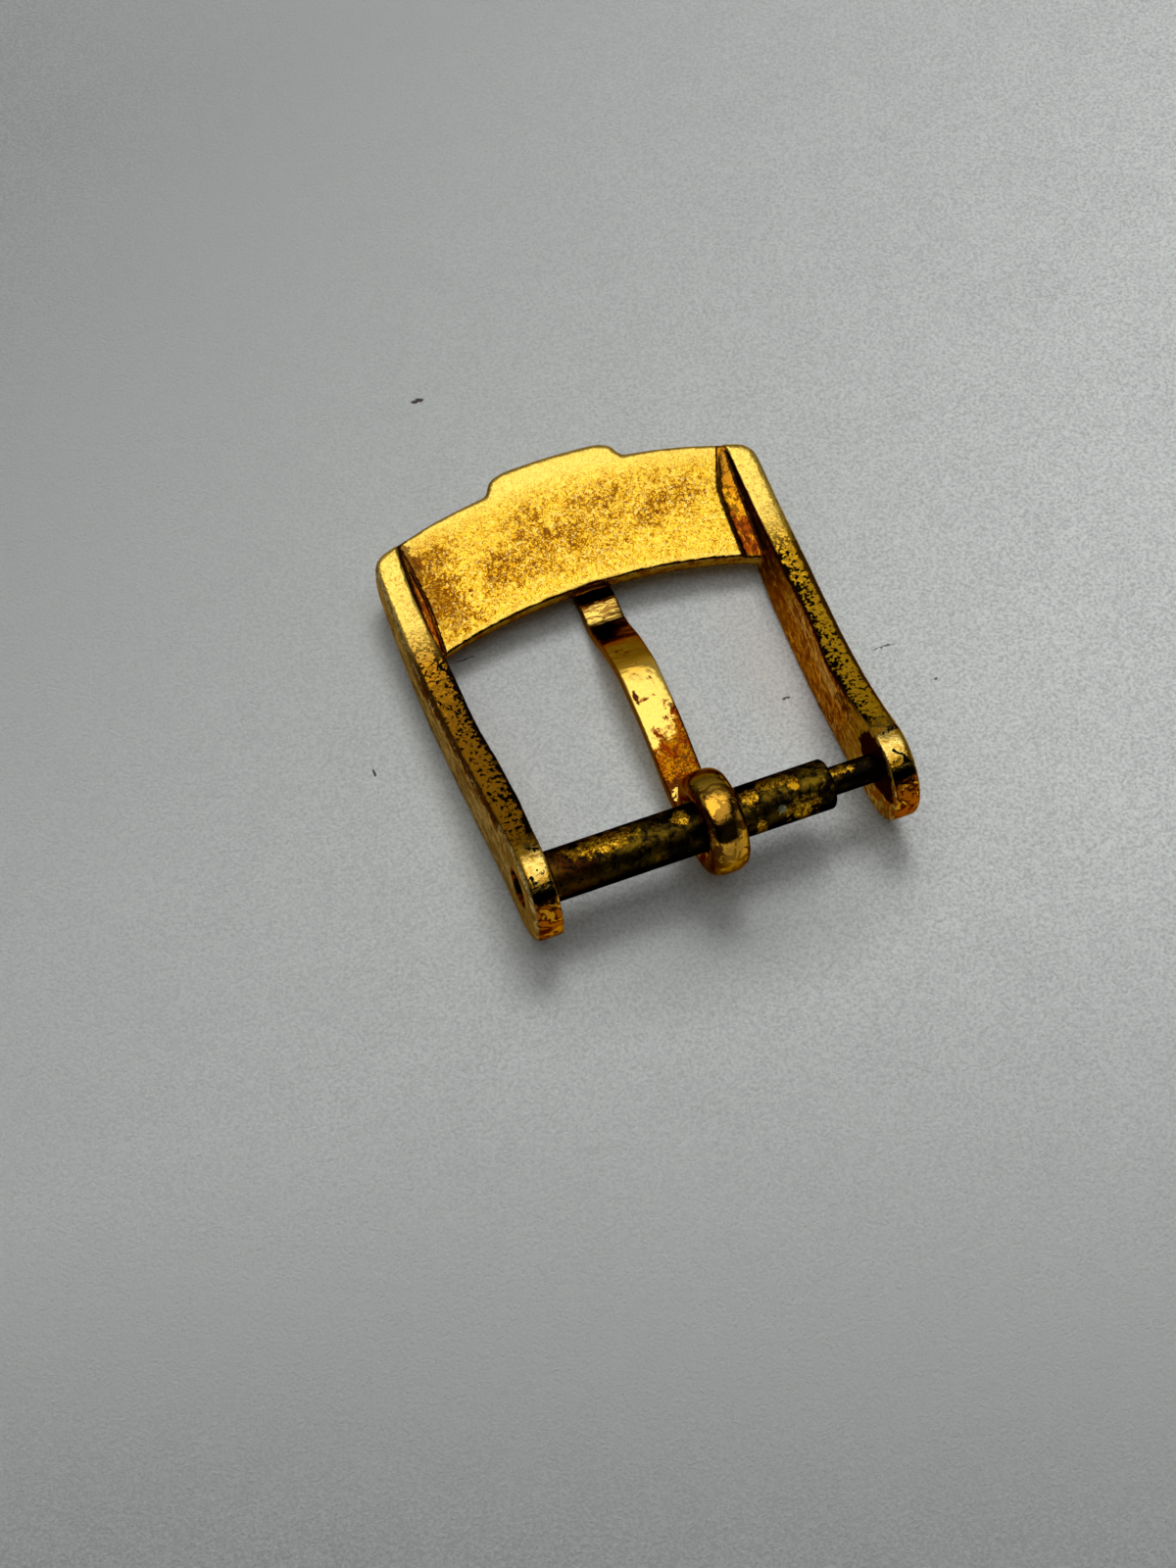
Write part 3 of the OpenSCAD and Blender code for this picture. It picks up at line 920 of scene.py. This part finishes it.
# painted highlight: pale gold sparks on the crown of each ear
painted_highlight = shred.sway(5) + 0.75 - from_crown * 0.6 - from_outer.falls(0.12, 0.22)
crown_pits = (shred + from_crown * 0.18 - 0.61).rises(0, 0.02) * crown
arm_tone = coat.painted(
    cream_gold,
    (coat.blend(left_arm_gold, right_arm_gold, on_right), worn * 0.4 + dull * 0.55),
    (worm_gold, worms.veins(0.03) * (0.6 - 0.2 * worn)),
    (soot, dashes.above(border)),
    (arm_edge, outer_edge * worn * 0.95),
    (coat.blend(crown_gold, highlight_gold, painted_highlight), crown),
    # soot pits on the crown, and the painted dark reflection in front of it
    (soot, painted_dark_band.above(crown_pits)))
tone = coat.blend(tone, arm_tone, arm_tops)
print("arm tops painted")

# %% Inner walls
wall_brown, wall_amber, wall_cream_and_highlight = (0.50, 0.17, 0.006), (0.80, 0.33, 0.02), (0.96, 0.58, 0.20)
wall_red, far_red, vein_red = (0.16, 0.03, 0.002), (0.12, 0.03, 0.002), (0.08, 0.016, 0.001)
flake_gold, flake_cream, flake_red = (0.98, 0.52, 0.09), (1.0, 0.66, 0.24), (0.17, 0.028, 0.001)
lip_brown, wall_olive = (0.04, 0.012, 0.002), (0.52, 0.36, 0.06)
mid_arm = coat.y.falls(6.5, 8.5)
# a pale band part way down the wall is a painted highlight
painted_highlight_band = (1 - (below_top - 0.75).size() / 0.5 + streaks.sway(3)).rises(0, 0.5)
painted_highlight_zone = painted_highlight_band * coat.y.rises(1.5, 3.5) * mid_arm
flakes = shred * 0.7 + grain * 0.3
upper_lip = (0.24 - below_top + pepper.sway(0.35)).rises(0, 0.05)
wall_blot = coat.blot(coat.y, coat.z, (2.5, 0.2), (0.6, 0.4), pepper.sway(5))
wall_tone = coat.painted(
    wall_brown,
    (wall_amber, grain.rises(0.42, 0.60)),
    # painted highlight band, and pale streaks of the wall's own colour
    (wall_cream_and_highlight, painted_highlight_zone * 0.8 + streaks.rises(0.58, 0.64) * 0.4),
    (wall_red, (streaks * 0.5 + grain * 0.5).falls(0.445, 0.485) * 0.85),
    (far_red, coat.y.rises(6.5, 9.5) * 0.85),
    (flake_gold, grain.rises(0.55, 0.59) * 0.6),
    (vein_red, grain.veins(0.015) * 0.75),
    (flake_cream, flakes.falls(0.42, 0.455) * coat.y.rises(0.5, 2.0) * mid_arm * 0.55),
    (flake_red, flakes.rises(0.52, 0.55) * 0.75),
    (lip_brown, upper_lip * coat.y.rises(1.2, 1.8)),
    (wall_olive, coat.y.falls(0.8, 2.6) * (0.6 + grain.sway(2)).held()),
    (soot, wall_blot * 0.75))
tone = coat.blend(tone, wall_tone, inner_walls)
print("inner walls painted")

# %% Outer walls
side_cream, side_brown, window_brown = (0.80, 0.62, 0.27), (0.12, 0.065, 0.008), (0.34, 0.18, 0.025)
patchy = streaks * 0.6 + grain * 0.4 + shred.sway(0.5)
cracks = coat.cloud(2.2, 2.0, 0.6, stretch=(1, 0.5, 1), bend=1.2)
ragged = (0.50 - below_top + shred.sway(3.2) + streaks.sway(1.5)).rises(0, 0.08)
ragged = ragged * coat.y.rises(1.2, 2.2) * coat.y.falls(8.5, 10.5)
side_tone = coat.painted(
    side_cream,
    (side_brown, patchy.rises(0.45, 0.54) * 0.75),
    (brown_gold, worms.veins(0.03) * 0.6),
    (dark_rust, ragged * 0.9),
    (dark_rust, cracks.veins(0.012) * 0.7))
window_tone = coat.blend(window_brown, brown_gold, streaks.rises(0.45, 0.6))
tone = coat.painted(tone, (side_tone, outer_walls), (window_tone, window_wall))
print("outer walls painted")

# %% [markdown]
# The ditch between the strips and the plate gets a painted shadow line, the foot of the arm
# walls beside the strips is darker, the holes get soot and painted shade, and the inner faces
# round the bar's ends get painted shade. The front of each ear, below the bar, has a marbled
# rust film on an orange ground, which is a painted reflection of the lit paper. The same masks
# make the surface rougher and a little lower.

# %% Crevices and ears
nose_reflection_orange, nose_rust, nose_vein = (0.96, 0.43, 0.016), (0.58, 0.15, 0.004), (0.10, 0.014, 0.001)
nose_reflection_cream = (0.98, 0.70, 0.22)
# painted shadow line along the step between the plate and the strips
painted_step_shadow = (0.05 - from_groove.size() + pepper.sway(0.12)).rises(0, 0.04) * beyond * up_face
# darker along the foot of the arm walls beside the strips
wall_foot_dark = (0.06 - (from_inner + 0.04).size() + pepper.sway(0.1)).rises(0, 0.05)
wall_foot_dark = (wall_foot_dark * (past_in + shred.sway(2.0)).rises(-0.1, 0.1)
               * coat.y.falls(13.6, 14.1))
front, below = -coat.y, -coat.z
# front of each ear: real rust marbling on an orange and cream ground that is a painted reflection
# of the lit paper
nose = (front.rises(0.4, 1.0) * below.rises(-0.75, -0.45)).above(
    (front + shred.sway(0.4)).rises(1.22, 1.28)) * (1 - outer_walls)
nose = nose.above(inner_walls * coat.y.falls(0.6, 1.4) * below.rises(-0.1, 0.3))
nose_tone = coat.painted(
    nose_reflection_orange,
    (nose_rust, marble.rises(0.42, 0.54)),
    (nose_vein, marble.veins(0.045)),
    (nose_reflection_cream, inner_walls * marble.falls(0.45, 0.55) * 0.8))
# the countersinks are painted dark: soot and rust, and painted shade in the holes
hole = from_hole.falls(0.66, 0.78) * across.rises(5.9, 6.0)
# painted shade on the inner faces of the ears round the bar's ends
painted_ear_shade = (1.55 - from_hole - coat.z.falls(-0.8, 0.0) * 0.75 - coat.y.rises(0.5, 1.5) * 0.35
         + shred.sway(1.2)).rises(0, 0.1) * inner_walls
tone = coat.painted(
    tone,
    (dark_rust, painted_step_shadow),
    (soot, wall_foot_dark * (1 - arm_tops * 0.8) * (1 - plate)),
    (nose_tone, nose),
    (coat.blend(soot, rust, marble.rises(0.5, 0.6)), hole),
    (soot, painted_ear_shade))
print("crevices and ears painted")

# %% Shine and relief of the frame
# dark dashes, soot and painted shade together make the surface rougher and lower
dirt_and_shade = (dashes * arm_tops + painted_step_shadow + wall_foot_dark + hole + painted_ear_shade).held()
coat.wear(
    Base_Color=tone, Metallic=1.0, Specular_Tint=grazing_gold,
    Roughness=0.2 + stained * 0.08 + dirt_and_shade * 0.3 + outer_walls * 0.2 + inner_walls * 0.2
    - coat.y.falls(0.6, 1.2) * 0.05)
ear_pits = (shred * 0.6 + pepper * 0.3) * coat.y.falls(0.8, 1.6)
coat.relief(coat.cloud(1.6, 3.0) * 0.8 + worms * 0.25 + ear_pits - dirt_and_shade * 0.3, 0.9, 0.035)
dress(cast_frame, coat)

# %% [markdown]
# The tongue has been polished by every hole of the strap, so it mirrors its surroundings.
# What is left of its film sits beside the loop. The joggle's slope is painted rust red with a
# black blot, the strip under the plate's edge is painted black as shadow, and the ring gets a
# painted dark reflection on top and a painted orange reflection of the paper below.

# %% Places on the tongue
shine = Finish("polished_gold_tongue")
film = shine.cloud(2.4, 4.0, 0.65, bend=0.4)
fleck = shine.cloud(6.0, 2.0, 0.6, shift=(5, 0, 2), bend=0.6)
ripple = shine.cloud(2.2, 3.0, 0.6, stretch=(0.7, 2.2, 1), bend=0.8)
under = shine.cloud(1.6, 3.0, shift=(1, 6, 3), bend=1.5)
from_loop = (shine.y * shine.y + shine.z * shine.z) ** 0.5
on_loop = from_loop.falls(loop_r - 0.05, loop_r + 0.08)
off_loop = 1 - on_loop
on_strip = off_loop * shine.nz.rises(0.2, 0.5)
by_loop = ((shine.y - shine.x * 0.9).falls(2.9, 4.9) + film.sway(1.8)).rises(0.2, 0.4) * on_strip
joggle = shine.y.rises(8.4, 8.5) * shine.y.falls(9.62, 9.72) * on_strip
low_loop = on_loop * (-shine.z).rises(-0.95, -0.6) * (-shine.y).rises(0.0, 0.6)
cheek = ((shine.x - tongue_x).size() + film.sway(0.25)).rises(0.46, 0.60)
root = (0.90 - (from_loop - loop_r).size() - shine.x * 0.25 + film.sway(1.2)).rises(0, 0.08)
root = root * shine.y.rises(0.9, 1.3)
edges = (1 - shine.nz.size().rises(0.3, 0.6)) * off_loop
print("places on the tongue masked")

# %% Tongue plating
tongue_gold, flat_gold, loop_gold = (0.98, 0.66, 0.13), (0.78, 0.38, 0.008), (0.86, 0.42, 0.02)
stain_gold, stain_red, paper_reflection_orange = (0.44, 0.165, 0.002), (0.26, 0.035, 0.001), (1.0, 0.50, 0.045)
joggle_blot = shine.blot(shine.x, shine.y, (-0.15, 9.15), (0.62, 0.5), film.sway(1.5))
dark_mark = shine.blot(shine.x, shine.y, (-0.45, 5.75), (0.11, 0.34), fleck.sway(1.2))
root_flap = shine.blot(shine.x, shine.y, (-0.3, 1.95), (0.30, 0.2), fleck.sway(5))
tone = shine.painted(
    tongue_gold,
    (worm_gold, fleck.veins(0.008) * 0.4),
    (flat_gold, shine.y.rises(6.4, 7.2) * shine.y.falls(9.4, 9.7) * 0.9),
    (shine.blend(stain_gold, stain_red, film.rises(0.44, 0.58)), by_loop),
    (dark_rust, by_loop * fleck.veins(0.05) * 0.85),
    (rust, joggle * 0.9),
    (soot, joggle * joggle_blot),
    # painted shadow under the plate's edge
    (soot, shine.y.rises(10.62, 10.7)),
    (brown_gold, shine.y.rises(9.65, 9.75) * ripple.rises(0.52, 0.60) * on_strip * 0.8),
    (dark_rust, dark_mark * on_strip),
    (loop_gold, on_loop * 0.9),
    # painted dark reflection on the top of the ring
    (painted_reflection_olive, on_loop * shine.y.rises(0.0, 0.5) * 0.7),
    # painted reflection of the lit paper on the bottom of the ring
    (paper_reflection_orange, low_loop),
    (dark_rust, (under.veins(0.015) * low_loop).above(under.rises(0.50, 0.53) * on_loop) * 0.9),
    (dark_rust, (cheek * (0.85 + film.sway(2.5))).held() * on_loop),
    (dark_rust, root * 0.85),
    (cream_gold, root_flap * root),
    (shine.blend(brown_gold, dark_rust, film.rises(0.35, 0.5)), edges * 0.95))
shine.wear(Base_Color=tone, Metallic=1.0, Specular_Tint=grazing_gold,
           Roughness=0.10 + by_loop * 0.16 + low_loop * 0.08)
bent = shine.y.rises(6.7, 7.1) * shine.y.falls(7.6, 8.0) + shine.y.rises(9.6, 9.9)
shine.relief(shine.cloud(1.3, 2.0) + film * on_loop * 0.55 + fleck * 0.05
             + film * by_loop * 0.15 + ripple * bent * 0.5, 0.9, 0.035)
dress(bent_tongue, shine)

# %% [markdown]
# The spring bar is plated steel, and the strap has kept it damp: nearly all of it is black
# or a greenish brown, with a few islands of gold plating left along the top. The tube and
# the pins keep their imported shapes, as they are plain turned parts, and share one finish.
# The islands are blots laid out along the bar and kept to its upper side, as is the greenish
# brown, so the lower half stays black as painted shade. The coil inside is bare steel wire.

# %% Spring bar finishes
bar_olive, bar_rust, steel_green = (0.18, 0.105, 0.006), (0.09, 0.022, 0.002), (0.42, 0.44, 0.22)
island_gold, crust_gold = (0.54, 0.27, 0.008), (0.95, 0.56, 0.04)
grazing_soot = (0.10, 0.07, 0.03, 1)
island_places = [((-4.0, 0.2), (1.3, 0.42)), ((-1.15, 0.1), (0.35, 0.3)),
                 ((1.35, 0.0), (0.35, 0.4)), ((2.9, 0.0), (0.25, 0.3)),
                 ((3.0, -0.72), (0.7, 0.2)), ((1.45, -0.85), (0.2, 0.18)),
                 ((2.2, 0.3), (0.8, 0.25)), ((4.75, 0.1), (0.6, 0.22))]
black = Finish("tarnished_bar")
rough = black.cloud(3.2, 4.0, 0.7, bend=0.4)
crust = black.cloud(5.5, 2.0, 0.6, shift=(2, 7, 1), bend=0.8)
drift = black.cloud(0.9, 3.0, 0.6)
# the lit top gets greenish brown, and the lower half stays black as painted shade
lit_top = black.z.rises(0.15, 0.8)
thin_gold = black.cloud(1.6, 4.0, 0.65, shift=(1.3, 0, 2)).rises(0.62, 0.70)
# the gold islands are kept to the lit top, so the lower half stays black as painted shade
islands = (thin_gold * black.z.rises(0.1, 0.5) * 0.5).above(
    black.blots(black.x, black.y, island_places, rough.sway(2.6)) * black.z.rises(-0.3, 0.1))
left_end = black.x.falls(-5.2, -4.0) * black.z.rises(-0.1, 0.5)
steel_spot = black.blot(black.x, black.y, (2.25, -0.62), (0.16, 0.10), rough.sway(2))
tone = black.painted(
    soot,
    (bar_olive, lit_top * drift.rises(0.42, 0.58) * rough.rises(0.40, 0.58)),
    (bar_rust, left_end * rough.rises(0.4, 0.6) * 0.8),
    (island_gold, islands * 0.85),
    (crust_gold, islands * crust.rises(0.58, 0.64) * 0.7),
    (dark_rust, crust.veins(0.045) * islands * 0.95),
    (steel_green, steel_spot))
black.wear(Base_Color=tone, Metallic=1.0, Specular_Tint=grazing_soot,
           Roughness=0.30 + rough * 0.15 - islands * 0.1)
black.relief(rough * 0.7 + islands * 0.3 + drift, 1.0, 0.03)
for node in ("bar_tube", "left_pin", "right_pin"):
    dress(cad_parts[node], black)
wire = Finish("spring_wire")
wire_tone = wire.blend((0.4, 0.4, 0.38), (0.2, 0.17, 0.13), wire.cloud(3.0))
wire.wear(Base_Color=wire_tone, Metallic=1.0, Roughness=0.35)
dress(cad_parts["bar_spring"], wire)

# %% [markdown]
# The buckle lies on a sheet of matt paper, which is the stage and no part of it. Painted light
# and shade make it paler towards the right and darker near and far, with a warm patch beside
# the right arm where gold throws its light and a soft shadow under the bar. It has a few
# loose fibres and specks too.

# %% Paper
start()
bpy.ops.mesh.primitive_grid_add(x_subdivisions=40, y_subdivisions=40, size=1.6)
paper = named("paper")
shaded, pale, hollow_grey = (0.27, 0.28, 0.275), (0.845, 0.87, 0.85), (0.46, 0.48, 0.47)
gold_light, painted_bar_shadow, fibre_dark = (0.72, 0.60, 0.50), (0.30, 0.31, 0.305), (0.07, 0.055, 0.05)
fibre_places = [((-5.15, 10.39), (0.45, 0.035)), ((5.07, 4.88), (0.2, 0.05)),
                ((9.2, 5.6), (0.5, 0.03)), ((10.44, 3.70), (0.09, 0.06)),
                ((-9.69, 7.14), (0.05, 0.2)), ((-2.95, 21.7), (0.3, 0.1))]
sheet = Finish("matt_paper")
fibre = sheet.cloud(8.0, 3.0, 0.75)
# painted light and shade: paler to the right, darker near and far
shade = sheet.x * 0.013 + sheet.y.rises(-30, -4) * 0.80 - sheet.y.rises(5, 40) * 0.48
hollows = fibre.rises(0.40, 0.66) * 0.82 + sheet.cloud(0.4, 2.0).rises(0.4, 0.8) * 0.12
marks = sheet.blots(sheet.x, sheet.y + fibre.sway(1.5) * 0.2, fibre_places)
tone = sheet.painted(
    shaded,
    (pale, shade),
    (hollow_grey, hollows),
    (gold_light, sheet.blot(sheet.x, sheet.y, (4.9, 6.5), (1.6, 5.0), edge=1.0) * 0.3),
    # painted shadow under the bar
    (painted_bar_shadow, sheet.blot(sheet.x, sheet.y, (0.0, -3.2), (8.0, 3.0), edge=1.0) * 0.6),
    (fibre_dark, marks))
sheet.wear(Base_Color=tone, Roughness=0.95)
sheet.relief(fibre, 1.0, 0.1)
dress(paper, sheet)

# %% [markdown]
# Gold shows mostly what surrounds it, so the light is built like a real table by a window.
# The room is a broad bright sky straight above, weaker glows behind the buckle and at both
# sides, a thin one low in front, and darkness elsewhere. A photograph of a room could be
# wrapped round the scene, but four ramps over height say the same in a few lines. One soft
# lamp above and behind gives the shadows their direction, and the metal doesn't mirror it.

# %% Room
world = bpy.data.worlds.new("room")
bpy.context.scene.world = world
world.use_nodes = True
room = Nodes(world.node_tree)
beside, behind, height = room.parts(room.add("ShaderNodeTexCoord", {}, {}, "Generated"))
sky_tilt, sky_strength = math.radians(5), 1.4
overhead = height * math.cos(sky_tilt) + behind * math.sin(sky_tilt)
sky = room.ramp(overhead, [(0.0, 0.002), (0.60, 0.003), (0.835, 0.006), (0.882, 0.9),
                           (0.91, 1.0), (1.0, 1.0)]) * sky_strength
glow = room.ramp(height, [(0.0, 0.0), (0.05, 0.08), (0.3, 0.18), (0.6, 0.30), (1.0, 0.30)])
front_glow = room.ramp(height, [(0.0, 0.5), (0.12, 0.45), (0.20, 0.0), (1.0, 0.0)])
flank = room.ramp(height, [(0.0, 0.0), (0.05, 0.10), (0.3, 0.20), (0.6, 0.16), (0.8, 0.0)])
light = sky.above(glow * behind.rises(0.05, 0.4)).above(front_glow * (-behind).rises(0.1, 0.4))
light = light.above(flank * beside.size().rises(0.45, 0.85))
room.feed(room.tree.nodes["Background"], {"Color": light, "Strength": 1.0})
print("room of four glows")

# %% Lamp
lamp_place, lamp_size, lamp_power = Vector((0.08, 0.17, 0.40)), 0.17, 0.72
window = bpy.data.lights.new("window", "AREA")
window.shape, window.size, window.energy = "DISK", lamp_size, lamp_power
lamp = bpy.data.objects.new("window", window)
bpy.context.scene.collection.objects.link(lamp)
lamp.location = lamp_place
lamp.rotation_euler = (-lamp_place).to_track_quat("-Z", "Y").to_euler()
lamp.visible_glossy = False
print("lamp %.2f m above the table" % lamp_place.z)
